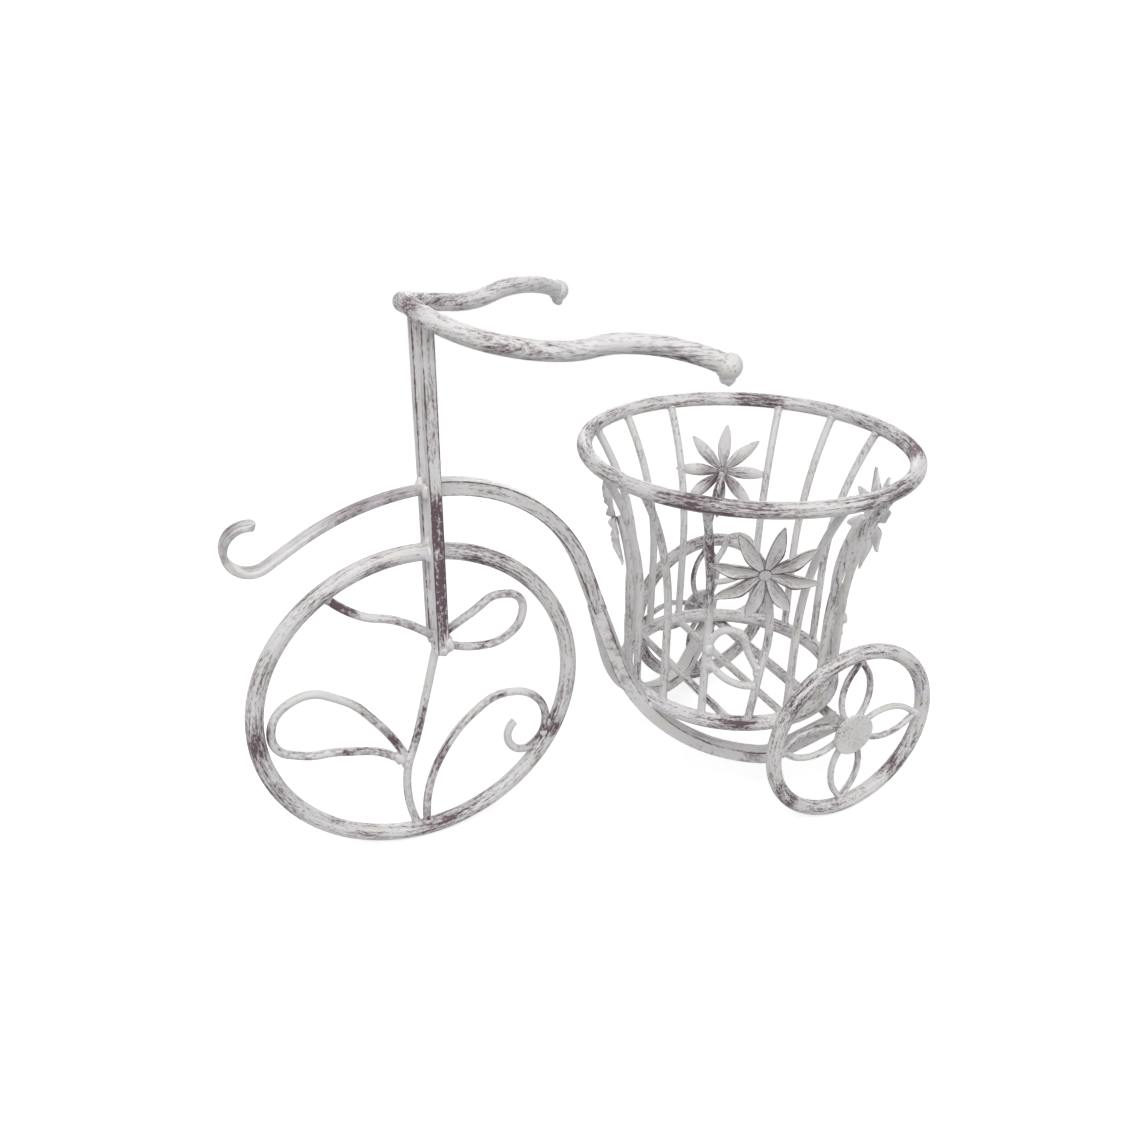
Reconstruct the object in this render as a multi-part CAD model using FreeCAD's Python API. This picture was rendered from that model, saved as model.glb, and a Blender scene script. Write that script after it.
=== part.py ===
"""Plant stand in the shape of a tricycle, welded from painted steel rod, bar and wire.

Millimetres. X runs from the front wheel to the basket, Y to the rider's right, Z up.
The origin lies on the floor, midway along the length and across the width.
"""
import FreeCAD, Part
import math
import os

Vector = FreeCAD.Vector

# Stock: thicknesses of the rod, bar, wire and sheet
front_rod = 10.0
rear_rod = 9.5
ring_rod = 9.5
handlebar_rod = 10.0
axle_rod = 7.0
basket_wire = 5.0
stem_wire = 5.0
leaf_wire = 4.5
vine_wire = 5.0
floor_wire = 5.0
petal_wire = 4.0
blade_side = 7.0
frame_depth = 8.5
scroll_thickness = 3.5
flower_sheet = 1.2
edge_round = 1.2

# Wheels, outside diameters, and where they stand
front_wheel_diameter = 200.0
rear_wheel_diameter = 124.0
wheelbase = 250.0
wheel_clearance = 9.25
hub_disc_diameter = 28.0
hub_disc_thickness = 2.5
petal_root_radius = 7.0
petal_root_half_gap = 2.6
petal_half_width = 10.5

# Basket, outside diameters of its rings
top_ring_diameter = 210.0
bottom_ring_diameter = 148.0
basket_height = 156.5
basket_ahead_of_axle = 35.0
bar_straight_height = 58.0
bars_between_flowers = 3
first_flower_angle = 66.0
floor_wire_spacing = 35.0

# Flowers on the basket wall, each turned on its stem by so many degrees
flower_turns = [4.0, 0.0, -12.0, 16.0]
flower_drop = 46.5
flower_radius = 33.0
flower_petals = 8
flower_petal_width = 8.5
flower_tip_radius = 0.8
flower_petal_rise = 0.4
flower_cup_radius = 5.5
flower_centre_diameter = 7.5
flower_centre_thickness = 2.2
stem_bow = 9.0
leaf_height = 36.0
leaf_foot_height = 30.0

# Fork, handlebar and frame
fork_behind_wheel = 12.0
fork_pin_height = 138.0
fork_pin_diameter = 8.0
blade_foot = 3.5
handlebar_height = 328.0
handlebar_ahead_of_fork = 4.5
handlebar_reach = 123.0
handlebar_span = 195.0
handlebar_drop = 18.5
knob_diameter = 13.0
arch_above_wheel = 31.5
parting_ahead_of_basket = 100.0
parting_height = 135.5
leg_slope = 70.0
leg_low_height = 32.5
leg_foot_run = 40.0
leg_foot_radius = 22.0
leg_foot_inset = 13.0
leg_overlap = 4.0

# Scroll ahead of the fork
scroll_reach = 96.0
scroll_slope = 31.0
scroll_curl_radius = 13.0
scroll_curl_drop = 18.5
scroll_end_angle = 70.0

# Places worked out from the sizes above, with the basket's axis at X = 0
front_rim_radius = (front_wheel_diameter - front_rod) / 2
front_inner_radius = front_rim_radius - front_rod / 2
rear_rim_radius = (rear_wheel_diameter - rear_rod) / 2
rear_inner_radius = rear_rim_radius - rear_rod / 2
top_ring_radius = (top_ring_diameter - ring_rod) / 2
bottom_ring_radius = (bottom_ring_diameter - ring_rod) / 2
track = bottom_ring_diameter + rear_rod + 2 * wheel_clearance
axle_x = basket_ahead_of_axle
axle_z = rear_wheel_diameter / 2
wheel_x = axle_x - wheelbase
wheel_z = front_wheel_diameter / 2
arch_height = front_wheel_diameter + arch_above_wheel
bottom_ring_z = axle_z + (axle_rod + ring_rod) / 2
top_ring_z = bottom_ring_z + basket_height
fork_x = wheel_x + fork_behind_wheel
fork_gap = front_rod
blade_y = (fork_gap + blade_side) / 2
frame_width = fork_gap
flare_z = bottom_ring_z + bar_straight_height
flare_out = top_ring_radius - bottom_ring_radius
flare_up = top_ring_z - flare_z
flare_radius = (flare_out ** 2 + flare_up ** 2) / (2 * flare_out)
flower_z = top_ring_z - flower_drop
flower_count = len(flower_turns)
position_angle = 360.0 / (flower_count * (bars_between_flowers + 1))
petal_tip_radius = rear_inner_radius - petal_wire / 2
scroll_curl_x = fork_x - scroll_reach
scroll_curl_z = arch_height - scroll_curl_drop
front_end = min(wheel_x - front_wheel_diameter / 2,
                scroll_curl_x - scroll_curl_radius - scroll_thickness / 2)
rear_end = max(top_ring_diameter / 2, axle_x + rear_wheel_diameter / 2)
origin_x = (front_end + rear_end) / 2

# Shapes of the bent pieces, as shares of the size that each one fits
# Handlebar arm: shares of the reach, half the span and the drop
handlebar_wave = [(0.016, 0.22, 0.11), (0.20, 0.515, 0.51), (0.445, 0.645, 0.70), (0.65, 0.75, 0.50)]
# Vine: shares of the front wheel's inner radius, across and up from its centre
vine_stem_bends = [(-0.135, -0.64), (-0.02, -0.19)]
vine_stem_root = (-0.075, -1.03)
vine_branch_bends = [(-0.10, 0.60), (-0.37, 0.71)]
vine_branch_root = (-0.55, 0.87)
vine_lower_leaf_bends = [(-0.115, -0.46), (-0.30, -0.11), (-0.49, 0.11), (-0.75, 0.215), (-0.95, 0.06),
                         (-0.93, -0.14), (-0.80, -0.215), (-0.53, -0.265), (-0.27, -0.355), (-0.205, -0.405)]
vine_upper_leaf_bends = [(0.36, 0.56), (0.55, 0.655), (0.70, 0.60), (0.71, 0.45), (0.57, 0.32), (0.38, 0.31)]
vine_tendril_bends = [(-0.01, -1.03), (0.01, -0.76), (0.12, -0.48), (0.32, -0.235), (0.56, -0.11), (0.75, -0.15),
                      (0.883, -0.41), (0.83, -0.55), (0.71, -0.61), (0.61, -0.53), (0.65, -0.36)]
# Flower stem: shares of its bow and of its rise
stem_bends = [(0.15, 0.0), (0.6, 0.30), (1.0, 0.60), (0.55, 0.84), (0.0, 1.0)]
# Leaf on a flower stem: its two ends on the stem, as shares of the stem's bow and the leaf's height,
# and the bends between, as shares of the way to the next bar and of the leaf's height
leaf_roots = [(0.6, 0.18), (0.6, -0.06)]
leaf_bends = [(-0.10, 0.62), (-0.30, 0.95), (-0.62, 0.98), (-0.92, 0.72), (-0.96, 0.44),
              (-0.62, 0.10), (-0.25, -0.04)]


def unit(vector):
    return vector * (1.0 / vector.Length)


def arc_edge(start, direction, end):
    """Arc that leaves start along direction and ends at end, or a line where they agree."""
    chord = end - start
    along = unit(chord)
    lift = direction - along * direction.dot(along)
    if lift.Length < 1e-6:
        return Part.LineSegment(start, end).toShape()
    half_turn = math.atan2(lift.Length, direction.dot(along))
    middle = (start + end) * 0.5 + unit(lift) * (chord.Length / 2 * math.tan(half_turn / 2))
    return Part.Arc(start, middle, end).toShape()


def end_tangent(near, middle, far):
    """Direction at near of the circle through three points."""
    first = middle - near
    whole = far - near
    return unit(first * (1.0 / first.Length ** 2) - whole * (1.0 / whole.Length ** 2))


def middle_tangent(before, point, after):
    """Direction at point of the circle through three points."""
    inward = point - before
    outward = after - point
    return unit(inward * (1.0 / inward.Length ** 2) + outward * (1.0 / outward.Length ** 2))


def smooth_path(points):
    """Wire of tangent arcs through the points, two arcs to each step."""
    tangents = [end_tangent(points[0], points[1], points[2])]
    for before, point, after in zip(points, points[1:], points[2:]):
        tangents.append(middle_tangent(before, point, after))
    tangents.append(end_tangent(points[-1], points[-2], points[-3]) * -1.0)
    edges = []
    for start, end, leave, arrive in zip(points, points[1:], tangents, tangents[1:]):
        chord = end - start
        both = leave + arrive
        bend = 2 * (1 - leave.dot(arrive))
        reach = chord.dot(both)
        if bend < 1e-9:
            length = chord.dot(chord) / (2 * reach)
        else:
            length = (math.sqrt(reach ** 2 + bend * chord.dot(chord)) - reach) / bend
        joint = (start + end + (leave - arrive) * length) * 0.5
        edges.append(arc_edge(start, leave, joint))
        edges.append(arc_edge(end, arrive * -1.0, joint))
    return Part.Wire(Part.__sortEdges__(edges))


def line_edge(start, end):
    """Line from start to end, or nothing where two arcs meet there."""
    if start.isEqual(end, 1e-6):
        return []
    return [Part.LineSegment(start, end).toShape()]


def corner_path(points, radii):
    """Wire of straight runs joined by tangent arcs of the given radii."""
    edges = []
    start = points[0]
    for before, corner, after, radius in zip(points, points[1:], points[2:], radii):
        back = unit(before - corner)
        ahead = unit(after - corner)
        half_turn = (math.pi - back.getAngle(ahead)) / 2
        cut = radius * math.tan(half_turn)
        arc_start = corner + back * cut
        arc_end = corner + ahead * cut
        edges += line_edge(start, arc_start)
        edges.append(arc_edge(arc_start, back * -1.0, arc_end))
        start = arc_end
    edges += line_edge(start, points[-1])
    return Part.Wire(edges)


def path_start(path):
    """First point of a wire and the direction in which it leaves."""
    edge = path.OrderedEdges[0]
    point = path.OrderedVertexes[0].Point
    parameter = edge.Curve.parameter(point)
    direction = edge.tangentAt(parameter)
    ahead = edge.valueAt((edge.FirstParameter + edge.LastParameter) / 2) - point
    if direction.dot(ahead) < 0:
        direction = direction * -1.0
    return point, direction


def round_bar(path, diameter):
    point, direction = path_start(path)
    section = Part.Wire(Part.Circle(point, direction, diameter / 2).toShape())
    return path.makePipeShell([section], True, False)


def flat_bar(path, across, width, depth):
    """Bar with rounded edges along a path in one plane; across is square to that plane."""
    point, direction = path_start(path)
    up = direction.cross(across)
    half_width = width / 2
    half_depth = depth / 2
    nick = edge_round * (1 - math.sqrt(0.5))

    def at(sideways, upward):
        return point + across * sideways + up * upward

    corners = []
    for side, top in ((1, 1), (-1, 1), (-1, -1), (1, -1)):
        long_end = at(side * (half_width - edge_round), top * half_depth)
        corner = at(side * (half_width - nick), top * (half_depth - nick))
        short_end = at(side * half_width, top * (half_depth - edge_round))
        turn = [short_end, corner, long_end] if side * top > 0 else [long_end, corner, short_end]
        corners.append(Part.Arc(*turn).toShape())
    sides = []
    for first, second in zip(corners, corners[1:] + corners[:1]):
        sides.append(Part.LineSegment(first.Vertexes[-1].Point, second.Vertexes[0].Point).toShape())
    section = Part.Wire(Part.__sortEdges__(corners + sides))
    return path.makePipeShell([section], True, False)


def ring(x, y, z, radius, rod, axis):
    return Part.makeTorus(radius, rod / 2, Vector(x, y, z), axis)


def solid_of(shape):
    """The largest solid of a trimmed shape: what is left of the piece."""
    return max(shape.Solids, key=lambda solid: solid.Volume)


def trimmed(shape, *neighbours):
    for neighbour in neighbours:
        shape = shape.cut(neighbour)
    return solid_of(shape)


def turned(shape, angle):
    copy = shape.copy()
    copy.rotate(Vector(0, 0, 0), Vector(0, 0, 1), angle)
    return copy


def mirrored(shape):
    return shape.mirror(Vector(0, 0, 0), Vector(0, 1, 0))


# Wheels
def make_rear_petal(turn):
    """One bent loop of a rear wheel, from beside the hub out to the rim."""
    middle = (petal_root_radius + petal_tip_radius) / 2
    near_tip = petal_tip_radius - petal_wire
    outline = [(petal_root_radius, petal_root_half_gap), (middle, petal_half_width), (near_tip, petal_wire)]
    outline = outline + [(petal_tip_radius, 0.0)] + [(out, -aside) for out, aside in reversed(outline)]
    points = []
    for out, aside in outline:
        x = axle_x + out * math.cos(turn) - aside * math.sin(turn)
        z = axle_z + out * math.sin(turn) + aside * math.cos(turn)
        points.append(Vector(x, -track / 2, z))
    return round_bar(smooth_path(points), petal_wire)


def add_rear_wheels(parts):
    outward = Vector(0, -1, 0)
    rim = ring(axle_x, -track / 2, axle_z, rear_rim_radius, rear_rod, outward)
    disc_face = Vector(axle_x, -(track + petal_wire) / 2, axle_z)
    disc = Part.makeCylinder(hub_disc_diameter / 2, hub_disc_thickness, disc_face, outward)
    petals = [make_rear_petal(math.radians(90 * number)) for number in range(4)]
    for side, place in (("left", lambda shape: shape), ("right", mirrored)):
        parts["rear_rim_" + side] = place(rim)
        parts["hub_disc_" + side] = place(disc)
        for number, petal in enumerate(petals, start=1):
            parts["rear_petal_%s_%d" % (side, number)] = place(petal)
    axle_end = Vector(axle_x, -(track + petal_wire) / 2, axle_z)
    parts["rear_axle"] = Part.makeCylinder(axle_rod / 2, track + petal_wire, axle_end, Vector(0, 1, 0))


def in_wheel(share):
    across, up = share
    return Vector(wheel_x + across * front_inner_radius, 0, wheel_z + up * front_inner_radius)


def add_front_wheel(parts):
    """Rim and vine; the vine's wires end on the rim and on the pin between the fork blades."""
    rim = ring(wheel_x, 0, wheel_z, front_rim_radius, front_rod, Vector(0, 1, 0))
    pin_centre = Vector(fork_x, 0, fork_pin_height)
    pin_start = pin_centre - Vector(0, fork_gap / 2, 0)
    pin = Part.makeCylinder(fork_pin_diameter / 2, fork_gap, pin_start, Vector(0, 1, 0))
    above = pin_centre + Vector(fork_pin_diameter / 4, 0, fork_pin_diameter / 4)
    below = pin_centre + Vector(fork_pin_diameter / 4, 0, -fork_pin_diameter / 4)
    front = pin_centre + Vector(-fork_pin_diameter / 4, 0, fork_pin_diameter / 4)

    def wire(points):
        return round_bar(smooth_path(points), vine_wire)

    def bends(shares):
        return [in_wheel(share) for share in shares]

    stem = wire([in_wheel(vine_stem_root)] + bends(vine_stem_bends) + [pin_centre])
    stem = trimmed(stem, rim, pin)
    branch = trimmed(wire([front] + bends(vine_branch_bends) + [in_wheel(vine_branch_root)]), rim, pin, stem)
    lower_leaf = trimmed(wire(bends(vine_lower_leaf_bends)), rim, stem)
    upper_leaf = trimmed(wire([above] + bends(vine_upper_leaf_bends) + [below]), pin, stem, branch)
    tendril = trimmed(wire(bends(vine_tendril_bends)), rim, stem)
    parts["front_rim"] = rim
    parts["fork_pin"] = pin
    parts["vine_stem"] = stem
    parts["vine_branch"] = branch
    parts["vine_lower_leaf"] = lower_leaf
    parts["vine_upper_leaf"] = upper_leaf
    parts["vine_tendril"] = tendril


# Fork, handlebar and frame
def add_handlebar(parts):
    apex = Vector(fork_x - handlebar_ahead_of_fork, 0, handlebar_height)
    shares = handlebar_wave + [(1.0, 1.0, 1.0)]
    arm = [apex + Vector(back * handlebar_reach, out * handlebar_span / 2, -down * handlebar_drop)
           for back, out, down in shares]
    points = [Vector(p.x, -p.y, p.z) for p in reversed(arm)] + [apex] + arm
    bar = round_bar(smooth_path(points), handlebar_rod)
    knob_right = Part.makeSphere(knob_diameter / 2, arm[-1])
    knob_left = mirrored(knob_right)
    parts["handlebar"] = trimmed(bar, knob_left, knob_right)
    parts["knob_left"] = knob_left
    parts["knob_right"] = knob_right


def add_fork(parts):
    """Two square blades beside the front rim, coped at the top to the handlebar's underside."""
    foot_z = fork_pin_height - blade_foot
    corner = Vector(fork_x - blade_side / 2, -blade_y - blade_side / 2, foot_z)
    blade = Part.makeBox(blade_side, blade_side, handlebar_height - foot_z, corner)
    upright = [edge for edge in blade.Edges if abs(edge.tangentAt(edge.FirstParameter).z) > 0.9]
    blade = blade.makeFillet(edge_round, upright)
    pieces = blade.cut(parts["handlebar"]).Solids
    blade = min(pieces, key=lambda solid: solid.BoundBox.ZMin)
    parts["fork_blade_left"] = blade
    parts["fork_blade_right"] = mirrored(blade)


def leg_path(foot):
    """Route of one leg in the upright plane from the parting point to its foot on the axle."""
    parting = Vector(-parting_ahead_of_basket, 0, parting_height)
    level = Vector(foot.x - parting.x, foot.y - parting.y, 0)
    along = unit(level)
    slope = math.radians(leg_slope)

    def at(out, z):
        return Vector(parting.x, parting.y, z) + along * out

    knee_out = (parting_height - leg_low_height) / math.tan(slope)
    heel_out = level.Length - leg_foot_run
    heel_turn = math.atan2(foot.z - leg_low_height, leg_foot_run)
    bend_run = heel_out - knee_out - leg_foot_radius * math.tan(heel_turn / 2)
    bend_radius = bend_run / math.tan(slope / 2)
    start = at(-leg_overlap * math.cos(slope), parting_height + leg_overlap * math.sin(slope))
    knee = at(knee_out, leg_low_height)
    heel = at(heel_out, leg_low_height)
    return corner_path([start, knee, heel, foot], [bend_radius, leg_foot_radius])


def add_frame(parts):
    """Arch behind the fork and the two legs that part under the basket."""
    slope = math.radians(leg_slope)
    parting = Vector(-parting_ahead_of_basket, 0, parting_height)
    crown = Vector(parting.x - (arch_height - parting_height) / math.tan(slope), 0, arch_height)
    bend_run = min(crown.x - fork_x, (arch_height - parting_height) / math.sin(slope))
    radius = bend_run / math.tan(slope / 2)
    arch_route = corner_path([Vector(fork_x, 0, arch_height), crown, parting], [radius])
    arch = flat_bar(arch_route, Vector(0, 1, 0), frame_width, frame_depth)
    axle = parts["rear_axle"]
    lower_ring = parts["basket_bottom_ring"]
    foot = Vector(axle_x, -(track / 2 - leg_foot_inset), axle_z)
    route = leg_path(foot)
    across = unit(Vector(-(foot.y - parting.y), foot.x - parting.x, 0))
    leg = flat_bar(route, across, frame_width, frame_depth)
    left = trimmed(leg, arch, axle, lower_ring)
    right = trimmed(mirrored(leg), arch, axle, lower_ring, left)
    parts["frame_arch"] = arch
    parts["frame_leg_left"] = left
    parts["frame_leg_right"] = right


def end_corners(end, outward):
    """What is cut from the strip's two corners to leave a round end, for a strip that ends with a turn."""
    half = frame_width / 2
    back = outward.cross(Vector(0, 1, 0))
    depth = 2 * scroll_thickness
    block = Part.makeBox(frame_width, half, depth, Vector(-half, 0, -depth / 2))
    corners = block.cut(Part.makeCylinder(half, depth, Vector(0, 0, -depth / 2)))
    turn = FreeCAD.Rotation(Vector(0, -1, 0), back * -1.0, outward, "ZXY")
    corners.Placement = FreeCAD.Placement(end + back * half, turn)
    return corners


def add_scroll(parts):
    """Flat strip from the fork forward: an arch, a straight run and an open curl."""
    slope = math.radians(scroll_slope)
    hub = Vector(scroll_curl_x, 0, scroll_curl_z)

    def on_curl(angle):
        return hub + Vector(math.cos(angle), 0, math.sin(angle)) * scroll_curl_radius

    first = slope - math.pi / 2
    last = math.radians(scroll_end_angle) - 2 * math.pi
    curl_start = on_curl(first)
    start = Vector(fork_x, 0, arch_height)
    crown = Vector(curl_start.x + (arch_height - curl_start.z) / math.tan(slope), 0, arch_height)
    radius = min(fork_x - crown.x, crown.distanceToPoint(curl_start)) / math.tan(slope / 2)
    route = corner_path([start, crown, curl_start], [radius])
    curl = Part.Arc(curl_start, on_curl((first + last) / 2), on_curl(last)).toShape()
    strip = flat_bar(Part.Wire(route.Edges + [curl]), Vector(0, 1, 0), frame_width, scroll_thickness)
    parts["front_scroll"] = strip.cut(end_corners(on_curl(last), unit(on_curl(last) - hub)))


# Basket
def wall_radius(z):
    """Radius of the basket wall's wires at height z: upright below, flared in one arc above."""
    rise = max(0.0, z - flare_z)
    return bottom_ring_radius + flare_radius - math.sqrt(flare_radius ** 2 - rise ** 2)


def wall_point(aside, z):
    """Point on the wall near angle 0, aside from it by a distance along the wall."""
    radius = wall_radius(z)
    angle = aside / radius
    return Vector(radius * math.cos(angle), radius * math.sin(angle), z)


def make_basket_bar(top_ring, bottom_ring):
    """One bar at angle 0, trimmed to the two rings."""
    half_rise = flare_up / 2
    start = Vector(bottom_ring_radius, 0, bottom_ring_z)
    bend = Vector(bottom_ring_radius, 0, flare_z)
    halfway = Vector(wall_radius(flare_z + half_rise), 0, flare_z + half_rise)
    end = Vector(top_ring_radius, 0, top_ring_z)
    edges = [Part.LineSegment(start, bend).toShape(), Part.Arc(bend, halfway, end).toShape()]
    return trimmed(round_bar(Part.Wire(edges), basket_wire), top_ring, bottom_ring)


def make_flower_stem(bottom_ring):
    """Wire that bows aside on its way up to the back of the flower."""
    rise = flower_z - bottom_ring_z
    points = [wall_point(aside * stem_bow, bottom_ring_z + up * rise) for aside, up in stem_bends]
    return trimmed(round_bar(smooth_path(points), stem_wire), bottom_ring)


def make_flower_leaf(stem, next_bar):
    """Leaf loop from the stem over to the next bar and back."""
    reach = bottom_ring_radius * math.radians(position_angle)
    foot_z = bottom_ring_z + leaf_foot_height
    first, last = [wall_point(aside * stem_bow, foot_z + up * leaf_height) for aside, up in leaf_roots]
    loop = [wall_point(across * reach, foot_z + up * leaf_height) for across, up in leaf_bends]
    return trimmed(round_bar(smooth_path([first] + loop + [last]), leaf_wire), stem, next_bar)


def petal_outline():
    """Long leaf shape with a small round tip, along X from inside the flower's centre."""
    inner = flower_centre_diameter / 3
    middle = (inner + flower_radius) / 2
    half = flower_petal_width / 2
    tip = flower_tip_radius
    root_left = Vector(inner, tip, 0)
    root_right = Vector(inner, -tip, 0)
    tip_left = Vector(flower_radius - tip, tip, 0)
    tip_right = Vector(flower_radius - tip, -tip, 0)
    return Part.Wire([Part.Arc(root_left, Vector(middle, half, 0), tip_left).toShape(),
                      Part.Arc(tip_left, Vector(flower_radius, 0, 0), tip_right).toShape(),
                      Part.Arc(tip_right, Vector(middle, -half, 0), root_right).toShape(),
                      Part.LineSegment(root_right, root_left).toShape()])


def make_flower():
    """Pressed flower: cupped, pointed petals round a small flat centre, facing up."""
    centre = Part.makeCylinder(flower_centre_diameter / 2, flower_centre_thickness)
    prism = Part.Face(petal_outline()).extrude(Vector(0, 0, flower_cup_radius))
    axis_start = Vector(0, 0, flower_cup_radius + flower_petal_rise)
    along = Vector(1, 0, 0)
    back = Part.makeCylinder(flower_cup_radius, flower_radius, axis_start, along)
    front = Part.makeCylinder(flower_cup_radius - flower_sheet, flower_radius, axis_start, along)
    petal = solid_of(prism.common(back.cut(front)))
    petals = [turned(petal, 360.0 / flower_petals * number) for number in range(flower_petals)]
    return solid_of(centre.multiFuse(petals).removeSplitter())


def placed_flower(flower, turn):
    """Flower turned and laid against its stem at angle 0, square to the line down to its lowest tip."""
    low_z = flower_z - flower_radius
    lean = math.atan2(wall_radius(flower_z) - wall_radius(low_z), flower_radius)
    normal = Vector(math.cos(lean), 0, -math.sin(lean))
    seat = wall_point(0, flower_z) + normal * (stem_wire / 2)
    upward = Vector(math.sin(lean), 0, math.cos(lean))
    sideways = upward.cross(normal)
    facing = FreeCAD.Rotation(sideways, upward, normal, "ZXY")
    copy = flower.copy()
    copy.Placement = FreeCAD.Placement(seat, facing.multiply(FreeCAD.Rotation(Vector(0, 0, 1), turn)))
    return copy


def add_basket(parts):
    top_ring = ring(0, 0, top_ring_z, top_ring_radius, ring_rod, Vector(0, 0, 1))
    bottom_ring = ring(0, 0, bottom_ring_z, bottom_ring_radius, ring_rod, Vector(0, 0, 1))
    parts["basket_top_ring"] = top_ring
    parts["basket_bottom_ring"] = bottom_ring
    bar = make_basket_bar(top_ring, bottom_ring)
    stem = make_flower_stem(bottom_ring)
    leaf = make_flower_leaf(stem, turned(bar, -position_angle))
    flower = make_flower()
    bar_number = 0
    for number, turn in enumerate(flower_turns):
        angle = first_flower_angle + 360.0 / flower_count * number
        parts["flower_stem_%d" % (number + 1)] = turned(stem, angle)
        parts["flower_leaf_%d" % (number + 1)] = turned(leaf, angle)
        parts["flower_%d" % (number + 1)] = turned(placed_flower(flower, turn), angle)
        for step in range(1, bars_between_flowers + 1):
            bar_number += 1
            parts["basket_bar_%02d" % bar_number] = turned(bar, angle + position_angle * step)


def add_floor_wires(parts):
    """Wires across the bottom ring, ahead of the axle and parallel to it."""
    for name, x in (("front", -floor_wire_spacing), ("middle", 0.0)):
        half_length = math.sqrt(bottom_ring_radius ** 2 - x ** 2)
        start = Vector(x, -half_length, bottom_ring_z)
        wire = Part.makeCylinder(floor_wire / 2, 2 * half_length, start, Vector(0, 1, 0))
        parts["floor_wire_" + name] = trimmed(wire, parts["basket_bottom_ring"])


def main():
    parts = {}
    add_rear_wheels(parts)
    add_basket(parts)
    add_floor_wires(parts)
    add_front_wheel(parts)
    add_handlebar(parts)
    add_fork(parts)
    add_frame(parts)
    add_scroll(parts)
    os.makedirs("parts", exist_ok=True)
    for name, shape in parts.items():
        shape.translate(Vector(-origin_x, 0, 0))
        shape.exportStep("parts/%s.step" % name)


main()
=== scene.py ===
"""Looks of the tricycle-shaped plant stand: whitewash brushed over plum-brown paint, and its weld beads.

Metres, in the CAD model's frame: X from the front wheel to the basket, Y to the rider's right, Z up.
"""
import math
import bmesh
import bpy
from mathutils import Matrix, Vector, noise
from mathutils.bvhtree import BVHTree


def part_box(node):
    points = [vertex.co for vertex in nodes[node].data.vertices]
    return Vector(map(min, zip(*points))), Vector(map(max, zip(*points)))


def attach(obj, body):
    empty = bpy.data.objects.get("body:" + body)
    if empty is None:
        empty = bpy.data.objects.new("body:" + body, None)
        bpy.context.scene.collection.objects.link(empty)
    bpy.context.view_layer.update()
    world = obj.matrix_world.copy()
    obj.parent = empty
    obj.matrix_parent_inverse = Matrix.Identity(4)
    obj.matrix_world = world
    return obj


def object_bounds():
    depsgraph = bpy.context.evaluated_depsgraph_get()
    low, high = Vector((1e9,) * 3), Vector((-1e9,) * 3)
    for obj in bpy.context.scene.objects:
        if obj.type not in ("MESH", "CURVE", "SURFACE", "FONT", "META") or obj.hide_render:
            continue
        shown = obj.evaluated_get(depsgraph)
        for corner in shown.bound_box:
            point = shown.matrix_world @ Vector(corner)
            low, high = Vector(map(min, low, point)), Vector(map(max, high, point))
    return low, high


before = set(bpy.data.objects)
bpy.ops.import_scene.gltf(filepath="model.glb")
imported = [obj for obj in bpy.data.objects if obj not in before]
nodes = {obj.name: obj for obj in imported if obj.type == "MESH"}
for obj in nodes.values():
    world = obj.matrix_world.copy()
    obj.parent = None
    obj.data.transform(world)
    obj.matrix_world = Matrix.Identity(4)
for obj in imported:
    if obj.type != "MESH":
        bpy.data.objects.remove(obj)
cad_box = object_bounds()

# Camera, as the photograph was taken
camera_place = Vector((-0.2398, -0.4831, 0.4316))
camera_azimuth = math.radians(24.85)
camera_elevation = math.radians(26.28)
camera_roll = math.radians(0.63)
focal_length_pixels = 1000.0
image_width_pixels = 1135.0
sensor_width_mm = 36.0

# Paint colours, and how fully a colour covers the one under it
cool_white = (0.86, 0.845, 0.86)
warm_white = (0.83, 0.82, 0.79)
thin_white = (0.35, 0.305, 0.33)
plum = (0.100, 0.052, 0.072)
grime = (0.29, 0.27, 0.285)
thin_cover = 0.85
plum_cover = 0.90
grime_cover = 0.12

# Noises in the paint: marks to the metre, detail and roughness
streak_noise = (620.0, 3.0, 0.6)
mark_noise = (1100.0, 3.0, 0.62)
grain_noise = (2600.0, 2.0, 0.55)
patch_noise = (26.0, 2.0, 0.55)
tint_noise = (52.0, 1.0, 0.55)
blotch_noise = (420.0, 3.0, 0.55)

# Brush: how far marks are squeezed along its path, and radii at which turns count as lengths
streak_squeeze = 0.075
mark_squeeze = 0.28
ring_brush_radius = 0.1
petal_brush_radius = 0.016
# Axes along which a straight brush is drawn
brush_axes = {"any": "", "y": "y", "z": "z"}

# Wear: what adds to it, and the levels between which the white thins and the plum shows
base_wear = 0.70
streak_wear = 0.75
mark_wear = 0.65
patch_wear = 0.50
crevice_wear = 0.10
thin_levels = (0.90, 1.10)
bare_levels = (1.07, 1.15)
tint_levels = (0.40, 0.62)

# Masks: reach, the values between which each goes from 0 to 1, and the share of a spot that is fully worn
edge_width = 0.0012
edge_likeness = (0.97, 0.80)
edge_samples = 6
corner_turn = (0.25, 0.50)
face_turn = (0.98, 0.85)
crevice_reach = 0.005
crevice_light = (0.80, 0.35)
crevice_samples = 4
spot_core = 0.3
# Worn face of the fork: how far it faces left, its blotches, and how it fades at the strip and the foot
left_turn = (-0.4, -0.9)
blotch_levels = (0.30, 0.58)
least_blotch = 0.5
strip_fade = 0.012
foot_fade = (-0.010, 0.035)

# Relief and gloss of the paint
stroke_relief = 0.5
bare_relief = -0.4
bump_strength = 0.5
bump_distance = 0.0005
paint_roughness = 0.44
bare_roughness = 0.12
grain_roughness = 0.10
specular_level = 0.35

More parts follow.
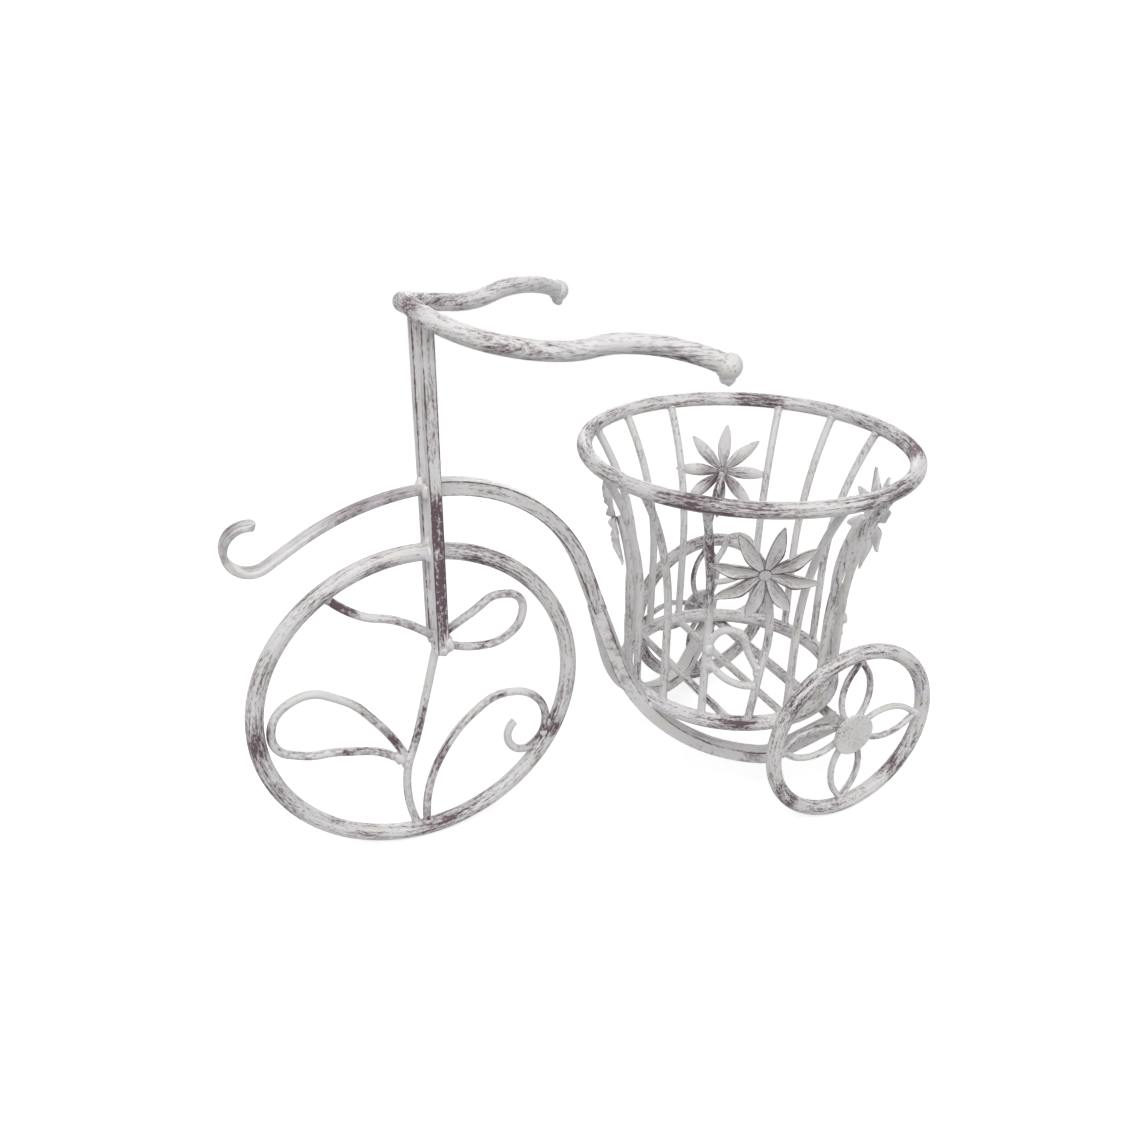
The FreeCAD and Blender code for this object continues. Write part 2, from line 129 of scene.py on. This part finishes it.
# Places worn most on the rings: degrees round from +X, radius of the place, and what it adds to the wear
top_ring_worn = [(52, 0.024, 0.17), (332, 0.032, 0.14), (222, 0.044, 0.15), (280, 0.036, 0.10),
                 (150, 0.040, 0.09)]
bottom_ring_worn = [(235, 0.030, 0.09), (120, 0.036, 0.10)]
front_rim_worn = [(64, 0.028, 0.12), (186, 0.046, 0.09), (226, 0.044, 0.08), (333, 0.011, 0.16),
                  (278, 0.044, 0.08)]
rear_rim_worn = [(325, 0.026, 0.10), (214, 0.024, 0.10), (140, 0.022, 0.08), (32, 0.022, 0.08),
                 (258, 0.022, 0.08)]
# Places worn most on bars and wires: shares of the node's box, radius, and what each adds to the wear
handlebar_worn = [("handlebar", 0.03, 0.46, 1.0, 0.014, 0.14),
                  ("handlebar", 0.26, 0.25, 0.3, 0.020, 0.09),
                  ("handlebar", 0.74, 0.10, 0.2, 0.018, 0.12),
                  ("handlebar", 0.86, 0.06, 0.1, 0.014, 0.15),
                  ("handlebar", 0.30, 0.74, 0.7, 0.016, 0.10)]
scroll_worn = [("front_scroll", 0.84, 0.5, 1.0, 0.026, 0.07),
               ("front_scroll", 0.58, 0.5, 0.7, 0.022, 0.04),
               ("front_scroll", 0.02, 0.5, 0.9, 0.012, 0.08)]
upright_worn = [("flower_stem_1", 0.5, 0.5, 0.80, 0.036, 0.18),
                ("basket_bar_06", 0.5, 0.5, 0.68, 0.044, 0.17)]
vine_worn = [("vine_branch", 0.08, 0.5, 0.90, 0.020, 0.20),
             ("vine_stem", 0.6, 0.5, 0.45, 0.022, 0.14),
             ("vine_upper_leaf", 0.5, 0.5, 0.0, 0.012, 0.12),
             ("vine_lower_leaf", 0.9, 0.5, 0.3, 0.016, 0.10),
             ("vine_tendril", 1.0, 0.5, 0.5, 0.012, 0.12)]
# Wear of each flower: round its middle, and along its edges, where the darkening is partly worn paint and
# partly painted shade at the rims of the cupped petals
flower_wear_and_rim_shade = {"flower_1": (0.22, 0.20), "flower_2": (0.08, 0.10),
               "flower_3": (0.12, 0.24), "flower_4": (0.08, 0.12)}
flower_worn_radius = 0.026

# Light: strength of the surround as light and as seen, and each lamp's place, power and side
sky_strength = 0.22
seen_strength = 1.0
lamps = {"key_light": (Vector((-0.60, -0.62, 1.28)), 13.6, 1.1),
         "fill_light": (Vector((0.80, -0.90, 0.70)), 4.0, 0.9),
         "back_light": (Vector((0.60, 1.15, 0.48)), 6.5, 0.8)}
floor_colour = (0.60, 0.60, 0.60)
floor_glow = 0.68
floor_radius = 0.95
floor_fade = (0.34, floor_radius * 0.98)
floor_sides = 64

# Weld beads: how near two pieces lie where they are welded, and the beads' sizes
touch = 0.0003
weld_spread = 0.006
smallest_bead = 0.0026
largest_bead = 0.0058
# Unevenness of a bead: how far it swells, and how closely the swells follow each other, coarse and fine
coarse_swell = 0.24
coarse_waves = 1.6
fine_swell = 0.08
fine_waves = 5.0
seed_step = (3.7, 1.3)
# Where the lower leaf's two ends are joined beside the stem: shares of the wheel's inner radius, and a radius
leaf_joint = [(-0.172, -0.425, 0.0036), (-0.128, -0.485, 0.0030)]
leaf_joint_depth = 1.4
# Beads on the fork, in half sides of a blade: radius across, and half the depth
strip_bead = (1.25, 0.7)
foot_bead = (1.25, 1.1)
heel_bead = (1.5, 0.9)
foot_rise = 0.3
# Paint drip under a knob, in radii of the knob: how far down it hangs, radius across, and half the depth
drip_drop = 0.72
drip_bead = (0.58, 0.72)
# Half the depth of the frame's bar, as a share of its width
half_depth_share = 0.425


# Places
def middle_of(node):
    low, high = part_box(node)
    return (low + high) / 2


def in_box(node, x, y, z):
    """Point at the given shares of a node's box."""
    low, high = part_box(node)
    size = high - low
    return Vector((low.x + size.x * x, low.y + size.y * y, low.z + size.z * z))


def on_ring(node, degrees):
    """Point on the middle line of a ring, level or upright, at an angle from +X."""
    low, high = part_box(node)
    size = high - low
    out = (size.x - min(size)) / 2
    turn = math.radians(degrees)
    second = Vector((0.0, 1.0, 0.0)) if size.z < size.y else Vector((0.0, 0.0, 1.0))
    return middle_of(node) + backward * (out * math.cos(turn)) + second * (out * math.sin(turn))


def named(*starts):
    return [name for name in nodes if name.startswith(starts)]


backward = Vector((1.0, 0.0, 0.0))
down = Vector((0.0, 0.0, -1.0))
basket_axis = middle_of("basket_top_ring")
arch_low, arch_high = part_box("frame_arch")
arch_centre = Vector((arch_low.x, 0.0, arch_high.z - (arch_high.x - arch_low.x)))
strip_level = arch_high.z - (arch_high.y - arch_low.y) * half_depth_share
blade_low, blade_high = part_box("fork_blade_left")
half_blade = (blade_high.x - blade_low.x) / 2
knob_low, knob_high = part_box("knob_left")
knob_radius = (knob_high.z - knob_low.z) / 2
rim_low, rim_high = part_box("front_rim")
front_inner_radius = (rim_high.x - rim_low.x) / 2 - (rim_high.y - rim_low.y)
# Focus of the parabola that the handlebar nearly follows in plan, and a scale for coordinates along it
bar_low, bar_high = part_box("handlebar")
bar_size = bar_high - bar_low
bar_focus = in_box("handlebar", bar_size.y ** 2 / bar_size.x ** 2 / 16, 0.5, 0.5)
bend_scale = math.sqrt(bar_size.x)


class Graph:
    """The nodes of a material or world, written as short calls."""

    def __init__(self, owner):
        owner.use_nodes = True
        self.owner = owner
        self.tree = owner.node_tree
        self.tree.nodes.clear()

    def node(self, kind, inputs, settings=None):
        made = self.tree.nodes.new(kind)
        for key, value in (settings or {}).items():
            setattr(made, key, value)
        for key, value in inputs.items():
            if isinstance(value, bpy.types.NodeSocket):
                self.tree.links.new(value, made.inputs[key])
            else:
                made.inputs[key].default_value = value
        return made

    def math(self, operation, first, second=0.0):
        return self.node("ShaderNodeMath", {0: first, 1: second}, {"operation": operation}).outputs[0]

    def times(self, first, second):
        return self.math("MULTIPLY", first, second)

    def total(self, *terms):
        result = terms[0]
        for term in terms[1:]:
            result = self.math("ADD", result, term)
        return result

    def reach(self, first, second):
        """Length of the slant over two offsets."""
        return self.math("SQRT", self.total(self.times(first, first), self.times(second, second)))

    def noise(self, vector, scale, detail, roughness):
        inputs = {"Vector": vector, "Scale": scale, "Detail": detail, "Roughness": roughness}
        return self.node("ShaderNodeTexNoise", inputs).outputs[0]

    def step(self, value, low, high):
        """Smooth rise from 0 at the first value to 1 at the second, which may be the smaller."""
        inputs = {"Value": value, "From Min": low, "From Max": high}
        return self.node("ShaderNodeMapRange", inputs, {"interpolation_type": "SMOOTHSTEP"}).outputs[0]

    def mix(self, factor, first, second):
        """Blend of two colours, each a constant or a socket."""
        inputs = {0: factor}
        for index, value in ((6, first), (7, second)):
            inputs[index] = value if isinstance(value, bpy.types.NodeSocket) else (*value, 1.0)
        return self.node("ShaderNodeMix", inputs, {"data_type": "RGBA"}).outputs[2]

    def place(self):
        return self.node("ShaderNodeTexCoord", {}).outputs["Object"]

    def normal(self):
        return self.node("ShaderNodeNewGeometry", {}).outputs["Normal"]

    def split(self, vector):
        return self.node("ShaderNodeSeparateXYZ", {0: vector}).outputs

    def join(self, x, y, z):
        return self.node("ShaderNodeCombineXYZ", {0: x, 1: y, 2: z}).outputs[0]

    def vector_math(self, operation, first, second, output):
        inputs = {0: first, 1: second}
        return self.node("ShaderNodeVectorMath", inputs, {"operation": operation}).outputs[output]

    def seen(self):
        """1 for what the camera sees, directly or in a reflection or through glass."""
        path = self.node("ShaderNodeLightPath", {}).outputs
        direct = self.math("MAXIMUM", path["Is Camera Ray"], path["Is Glossy Ray"])
        return self.math("MAXIMUM", direct, path["Is Transmission Ray"])


# Paint
def brush_vector(graph, grain, guide, squeeze):
    """Coordinates squeezed along the brush's path, so that marks are drawn out that way.

    The guide is the centre of a ring or flower, the focus of a bend, or the level direction of the upright
    plane that a bar lies in.
    """
    x, y, z = graph.split(graph.place())
    if grain in brush_axes:
        return graph.join(*[graph.times(value, squeeze) if axis in brush_axes[grain] else value
                            for axis, value in zip("xyz", (x, y, z))])
    if grain == "plane":
        along = graph.total(graph.times(x, guide.x), graph.times(y, guide.y))
        across = graph.total(graph.times(y, guide.x), graph.times(x, -guide.y))
        return graph.join(graph.times(along, squeeze), across, graph.times(z, squeeze))
    back, aside, up = graph.split(graph.vector_math("SUBTRACT", graph.place(), guide, "Vector"))
    if grain == "bend":
        reach = graph.reach(back, aside)
        along = graph.times(graph.math("SQRT", graph.total(reach, back)), bend_scale * squeeze)
        across = graph.times(graph.math("SQRT", graph.math("SUBTRACT", reach, back)), bend_scale)
        return graph.join(along, across, z)
    if grain == "petals":
        outward = Vector((guide.x - basket_axis.x, guide.y - basket_axis.y, 0.0)).normalized()
        sideways = graph.total(graph.times(aside, outward.x), graph.times(back, -outward.y))
        along = graph.times(graph.reach(sideways, up), squeeze)
        across = graph.times(graph.math("ARCTAN2", up, sideways), petal_brush_radius)
        return graph.join(across, along, 0.0)
    second, level = (aside, z) if grain == "round_z" else (up, y)
    along = graph.times(graph.math("ARCTAN2", second, back), ring_brush_radius * squeeze)
    return graph.join(along, graph.reach(back, second), level)


def edge_mask(graph):
    """1 on sharp edges and 0 on flats, from how far a rounded normal leaves the true one."""
    rounded = graph.node("ShaderNodeBevel", {"Radius": edge_width}, {"samples": edge_samples}).outputs[0]
    return graph.step(graph.vector_math("DOT_PRODUCT", rounded, graph.normal(), "Value"), *edge_likeness)


def corner_mask(graph, heading):
    """1 on the rounded corners of a bar bent in the upright plane of a heading, and 0 on its faces."""
    across = Vector((-heading.y, heading.x, 0.0))
    turned = graph.math("ABSOLUTE", graph.vector_math("DOT_PRODUCT", graph.normal(), across, "Value"))
    return graph.times(graph.step(turned, *corner_turn), graph.step(turned, *face_turn))


def crevice_mask(graph):
    """1 in the corners between pieces, where the wash gathers, and 0 in the open."""
    settings = {"samples": crevice_samples}
    shade = graph.node("ShaderNodeAmbientOcclusion", {"Distance": crevice_reach}, settings).outputs["AO"]
    return graph.step(shade, *crevice_light)


def spot_mask(graph, spots):
    """Sum of soft round places, each with its middle, its radius and what it adds to the wear."""
    masks = []
    for middle, radius, amount in spots:
        away = graph.vector_math("DISTANCE", graph.place(), middle, "Value")
        masks.append(graph.times(graph.step(away, radius, radius * spot_core), amount))
    return graph.total(*masks)


def worn_face(graph):
    """Up to 1, in blotches, on the left face of the fork's left blade, from the strip to near its foot."""
    mask = graph.step(graph.split(graph.normal())["Y"], *left_turn)
    place = graph.split(graph.place())
    below_strip = graph.step(place["Z"], strip_level + strip_fade, strip_level - strip_fade)
    above_foot = graph.step(place["Z"], *[blade_low.z + rise for rise in foot_fade])
    left = graph.step(place["Y"], blade_high.y, blade_low.y)
    blotches = graph.step(graph.noise(graph.place(), *blotch_noise), *blotch_levels)
    mottled = graph.total(graph.times(blotches, 1.0 - least_blotch), least_blotch)
    for factor in (below_strip, above_foot, left, mottled):
        mask = graph.times(mask, factor)
    return mask


def whitewash(name, grain="any", guide=None, wear=0.0, contrast=1.0,
              edges=0.0, corners=0.0, spots=(), fork_face=0.0):
    """Satin white brushed over plum-brown paint: streaks, mottled marks, and places worn through."""
    graph = Graph(bpy.data.materials.new(name))
    place = graph.place()
    streak = graph.noise(brush_vector(graph, grain, guide, streak_squeeze), *streak_noise)
    mark = graph.noise(brush_vector(graph, grain, guide, mark_squeeze), *mark_noise)
    grains = graph.noise(place, *grain_noise)
    patch = graph.noise(place, *patch_noise)
    usual = (streak_wear + mark_wear) / 2
    strokes = graph.total(graph.times(streak, streak_wear), graph.times(mark, mark_wear), -usual)
    terms = [graph.times(strokes, contrast), graph.times(patch, patch_wear), base_wear + wear,
             graph.times(crevice_mask(graph), crevice_wear)]
    # Darker paint on sharp edges: on the flowers this is worn edges and also painted shade along the petals'
    # rims
    if edges:
        terms.append(graph.times(edge_mask(graph), edges))
    if corners:
        heading = guide if grain == "plane" else backward
        terms.append(graph.times(corner_mask(graph, heading), corners))
    if spots:
        terms.append(spot_mask(graph, spots))
    if fork_face:
        terms.append(graph.times(worn_face(graph), fork_face))
    level = graph.total(*terms)
    thin = graph.step(level, *thin_levels)
    bare = graph.step(level, *bare_levels)
    tint = graph.step(graph.noise(place, *tint_noise), *tint_levels)
    white = graph.mix(tint, cool_white, warm_white)
    painted = graph.mix(graph.times(thin, thin_cover), white, thin_white)
    colour = graph.mix(graph.times(bare, plum_cover), painted, plum)
    shaded = graph.mix(graph.times(grains, grime_cover), colour, grime)
    height = graph.total(graph.times(streak, stroke_relief), graph.times(mark, stroke_relief),
                         graph.times(bare, bare_relief))
    relief = {"Strength": bump_strength, "Distance": bump_distance, "Height": height}
    bump = graph.node("ShaderNodeBump", relief).outputs[0]
    roughness = graph.total(graph.times(bare, bare_roughness), graph.times(grains, grain_roughness),
                            paint_roughness)
    finish = {"Base Color": shaded, "Roughness": roughness, "Normal": bump,
              "Specular IOR Level": specular_level}
    shader = graph.node("ShaderNodeBsdfPrincipled", finish).outputs[0]
    graph.node("ShaderNodeOutputMaterial", {"Surface": shader})
    return graph.owner


def dress(material, *names):
    for name in names:
        nodes[name].data.materials.clear()
        nodes[name].data.materials.append(material)


def ring_spots(node, places):
    return [(on_ring(node, degrees), radius, amount) for degrees, radius, amount in places]


def box_spots(places):
    return [(in_box(node, x, y, z), radius, amount) for node, x, y, z, radius, amount in places]


def add_ring_paint():
    """Rings and rims: brushed round, with the places that are worn most in the photograph."""
    top_spots = ring_spots("basket_top_ring", top_ring_worn)
    dress(whitewash("paint_top_ring", "round_z", basket_axis, spots=top_spots), "basket_top_ring")
    bottom_spots = ring_spots("basket_bottom_ring", bottom_ring_worn)
    dress(whitewash("paint_bottom_ring", "round_z", basket_axis, spots=bottom_spots), "basket_bottom_ring")
    front_spots = ring_spots("front_rim", front_rim_worn)
    hub = middle_of("front_rim")
    dress(whitewash("paint_front_rim", "round_y", hub, wear=-0.02, spots=front_spots), "front_rim")
    for rim in named("rear_rim"):
        rear_spots = ring_spots(rim, rear_rim_worn)
        dress(whitewash("paint_" + rim, "round_y", middle_of(rim), spots=rear_spots), rim)


def add_bar_paint():
    """Handlebar, fork, frame and scroll."""
    handlebar = whitewash("paint_handlebar", "bend", bar_focus, wear=-0.02, contrast=0.85,
                          spots=box_spots(handlebar_worn))
    dress(handlebar, "handlebar")
    dress(whitewash("paint_knob", wear=-0.07), *named("knob"))
    dress(whitewash("paint_fork", "z", wear=-0.05, corners=0.20, fork_face=0.36), *named("fork_blade"))
    dress(whitewash("paint_arch", "round_y", arch_centre, wear=-0.03, corners=0.21), "frame_arch")
    scroll = whitewash("paint_scroll", "plane", backward, wear=0.03, contrast=0.45,
                       spots=box_spots(scroll_worn))
    dress(scroll, "front_scroll")
    for leg in named("frame_leg"):
        low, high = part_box(leg)
        outward = math.copysign(high.y - low.y, low.y + high.y)
        heading = Vector((high.x - low.x, outward, 0.0)).normalized()
        dress(whitewash("paint_" + leg, "plane", heading, wear=-0.05, contrast=0.9, corners=0.17), leg)


def add_wire_paint():
    """Wires of the basket, the wheels and the vine, and the pressed sheet."""
    upright = whitewash("paint_upright_wire", "z", wear=-0.05, spots=box_spots(upright_worn))
    dress(upright, *named("basket_bar", "flower_stem"))
    dress(whitewash("paint_cross_wire", "y", wear=0.02), "rear_axle", *named("floor_wire"))
    vine = whitewash("paint_vine", "plane", backward, spots=box_spots(vine_worn))
    dress(vine, "fork_pin", *named("vine"))
    petal = whitewash("paint_rear_petal", "plane", backward, wear=0.03, contrast=0.9)
    dress(petal, *named("rear_petal"))
    dress(whitewash("paint_leaf_wire", wear=-0.04, contrast=0.55), *named("flower_leaf"))
    # Each flower is darker round its middle from wear, and along its petal edges from wear together with
    # painted shade
    for flower, (middle_wear, edge_wear_and_shade) in flower_wear_and_rim_shade.items():
        middle = middle_of(flower)
        worn = [(middle, flower_worn_radius, middle_wear)]
        paint = whitewash("paint_" + flower, "petals", middle, wear=-0.08, contrast=0.7,
                          edges=edge_wear_and_shade, spots=worn)
        dress(paint, flower)
    dress(whitewash("paint_hub_disc", wear=-0.04, contrast=0.8), *named("hub_disc"))


# Weld beads
def surface(node):
    """Search tree of a node's surface."""
    mesh = nodes[node].data
    place = nodes[node].matrix_world
    corners = [place @ vertex.co for vertex in mesh.vertices]
    return BVHTree.FromPolygons(corners, [tuple(polygon.vertices) for polygon in mesh.polygons])


def contacts(node, other):
    """Groups of the first node's points that lie on the other's surface, with the way out of it at each."""
    tree = surface(other)
    place = nodes[node].matrix_world
    groups = []
    for vertex in nodes[node].data.vertices:
        point = place @ vertex.co
        if tree.find_nearest(point, touch)[0] is None:
            continue
        near = [group for group in groups if (group[0] - point).length < weld_spread]
        if near:
            near[0].append(point)
        else:
            groups.append([point])
    found = []
    for group in groups:
        middle = sum(group, Vector()) / len(group)
        radius = sum((point - middle).length for point in group) / len(group)
        found.append((middle, radius, tree.find_nearest(middle)[1]))
    return found


def scaled(shares, length):
    return [share * length for share in shares]


class Beads:
    """Lumps of weld metal or paint collected in one mesh."""

    def __init__(self, name):
        self.name = name
        self.mesh = bmesh.new()
        self.count = 0

    def lump(self, place, direction, width, depth):
        """Uneven button of the given radius across and half-depth along a direction."""
        self.count += 1
        turn = Vector(direction).to_track_quat("Z", "Y").to_matrix().to_4x4()
        made = bmesh.ops.create_icosphere(self.mesh, subdivisions=3, radius=1.0)
        seed = Vector((self.count * seed_step[0], self.count * seed_step[1], 0.0))
        for vertex in made["verts"]:
            coarse = coarse_swell * noise.noise(vertex.co * coarse_waves + seed)
            fine = fine_swell * noise.noise(vertex.co * fine_waves + seed)
            flat = Vector((vertex.co.x * width, vertex.co.y * width, vertex.co.z * depth))
            vertex.co = place + turn @ (flat * (1.0 + coarse + fine))

    def weld(self, node, other, growth=1.35, depth=0.75):
        """A bead at each place where the first node touches the other."""
        for middle, radius, outward in contacts(node, other):
            width = min(max(radius * growth, smallest_bead), largest_bead)
            self.lump(middle, outward, width, width * depth)

    def finish(self, material, slot):
        data = bpy.data.meshes.new(self.name)
        self.mesh.to_mesh(data)
        self.mesh.free()
        for polygon in data.polygons:
            polygon.use_smooth = True
        data.materials.append(material)
        piece = bpy.data.objects.new(self.name, data)
        bpy.context.scene.collection.objects.link(piece)
        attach(piece, "root")


def add_basket_beads(material):
    """Beads where the basket's wires meet the rings and each other, and the legs the ring and the axle."""
    beads = Beads("basket_weld_beads")
    for bar in named("basket_bar"):
        beads.weld(bar, "basket_top_ring")
        beads.weld(bar, "basket_bottom_ring")
    for stem, leaf in zip(named("flower_stem"), named("flower_leaf")):
        beads.weld(stem, "basket_bottom_ring")
        beads.weld(leaf, stem)
        for bar in named("basket_bar"):
            beads.weld(leaf, bar)
    for wire in named("floor_wire"):
        beads.weld(wire, "basket_bottom_ring")
    for leg in named("frame_leg"):
        beads.weld(leg, "basket_bottom_ring", growth=1.1)
        beads.weld(leg, "rear_axle", growth=1.1)
    beads.finish(material, "painted_wire")


def add_wheel_beads(material):
    """Beads in the three wheels."""
    beads = Beads("wheel_weld_beads")
    for wire in named("vine"):
        beads.weld(wire, "front_rim", growth=1.4)
        beads.weld(wire, "fork_pin", growth=1.3)
        if wire != "vine_stem":
            beads.weld(wire, "vine_stem", growth=1.3)
    for side in ("left", "right"):
        for petal in named("rear_petal_" + side):
            beads.weld(petal, "rear_rim_" + side, growth=1.2)
    for across, up, width in leaf_joint:
        place = middle_of("front_rim") + Vector((across, 0.0, up)) * front_inner_radius
        beads.lump(place, Vector((-across, 0.0, up)), width, width * leaf_joint_depth)
    beads.finish(material, "painted_wire")


def add_fork_beads(material):
    """Beads where the fork's blades hold the rim, the strip and the handlebar, and drips of paint.

    The drips hang under the knobs and cover the blades' feet.
    """
    beads = Beads("fork_weld_beads")
    for side in ("left", "right"):
        blade = "fork_blade_" + side
        middle = middle_of(blade)
        inward = Vector((0.0, -math.copysign(1.0, middle.y), 0.0))
        beads.weld("front_rim", blade, growth=2.4, depth=0.7)
        beads.weld("handlebar", blade, growth=1.2, depth=0.6)
        for way in (backward, -backward):
            corner = Vector((middle.x, middle.y, strip_level)) + (way + inward) * half_blade
            beads.lump(corner, way, *scaled(strip_bead, half_blade))
        drip = middle_of("knob_" + side) + down * (knob_radius * drip_drop)
        beads.lump(drip, down, *scaled(drip_bead, knob_radius))
        foot = Vector((middle.x, middle.y, blade_low.z + half_blade * foot_rise))
        beads.lump(foot, down, *scaled(foot_bead, half_blade))
        heel = foot + backward * half_blade - down * half_blade
        beads.lump(heel, backward, *scaled(heel_bead, half_blade))
    beads.finish(material, "painted_bar")


# Stage
def add_floor():
    """Pale floor that fades into the surround, and glows where it is seen, so that its shadow is faint."""
    graph = Graph(bpy.data.materials.new("floor_white"))
    distance = graph.vector_math("LENGTH", graph.place(), Vector(), "Value")
    fade = graph.step(distance, *floor_fade)
    paint = graph.node("ShaderNodeBsdfDiffuse", {"Color": (*floor_colour, 1.0)}).outputs[0]
    glow = graph.node("ShaderNodeEmission", {"Strength": graph.times(graph.seen(), floor_glow)}).outputs[0]
    solid = graph.node("ShaderNodeAddShader", {0: paint, 1: glow}).outputs[0]
    clear = graph.node("ShaderNodeBsdfTransparent", {}).outputs[0]
    blend = graph.node("ShaderNodeMixShader", {0: fade, 1: solid, 2: clear}).outputs[0]
    graph.node("ShaderNodeOutputMaterial", {"Surface": blend})
    mesh = bmesh.new()
    bmesh.ops.create_circle(mesh, cap_ends=True, segments=floor_sides, radius=floor_radius)
    data = bpy.data.meshes.new("floor")
    mesh.to_mesh(data)
    mesh.free()
    data.materials.append(graph.owner)
    floor = bpy.data.objects.new("floor", data)
    bpy.context.scene.collection.objects.link(floor)


def add_world():
    """Plain white surround: soft light on the object, and white where it is seen."""
    world = bpy.data.worlds.new("studio")
    bpy.context.scene.world = world
    graph = Graph(world)
    strengths = {"Value": graph.seen(), "To Min": sky_strength, "To Max": seen_strength}
    strength = graph.node("ShaderNodeMapRange", strengths).outputs[0]
    background = graph.node("ShaderNodeBackground", {"Color": (1.0, 1.0, 1.0, 1.0), "Strength": strength})
    graph.node("ShaderNodeOutputWorld", {"Surface": background.outputs[0]})


def add_lamp(name, place, power, side):
    """Square soft lamp aimed at the middle of the object."""
    data = bpy.data.lights.new(name, "AREA")
    data.energy = power
    data.size = side
    lamp = bpy.data.objects.new(name, data)
    lamp.location = place
    target = (cad_box[0] + cad_box[1]) / 2
    lamp.rotation_euler = (target - place).to_track_quat("-Z", "Y").to_euler()
    bpy.context.scene.collection.objects.link(lamp)


def add_camera():
    """Camera at the photograph's place, angle and roll."""
    forward = Vector((math.sin(camera_azimuth) * math.cos(camera_elevation),
                      math.cos(camera_azimuth) * math.cos(camera_elevation),
                      -math.sin(camera_elevation)))
    level_right = Vector((math.cos(camera_azimuth), -math.sin(camera_azimuth), 0.0))
    level_up = level_right.cross(forward)
    right = level_right * math.cos(camera_roll) + level_up * math.sin(camera_roll)
    up = level_up * math.cos(camera_roll) - level_right * math.sin(camera_roll)
    data = bpy.data.cameras.new("camera")
    data.sensor_fit = "HORIZONTAL"
    data.sensor_width = sensor_width_mm
    data.lens = sensor_width_mm * focal_length_pixels / image_width_pixels
    camera = bpy.data.objects.new("camera", data)
    turn = Matrix((right, up, -forward)).transposed().to_4x4()
    camera.matrix_world = Matrix.Translation(camera_place) @ turn
    bpy.context.scene.collection.objects.link(camera)
    bpy.context.scene.camera = camera


add_ring_paint()
add_bar_paint()
add_wire_paint()
bead_paint = whitewash("paint_bead", wear=-0.06, contrast=0.6)
add_basket_beads(bead_paint)
add_wheel_beads(bead_paint)
add_fork_beads(bead_paint)
add_floor()
add_world()
for lamp_name, (lamp_place, lamp_power, lamp_side) in lamps.items():
    add_lamp(lamp_name, lamp_place, lamp_power, lamp_side)
add_camera()
bpy.context.scene.view_settings.view_transform = "Standard"
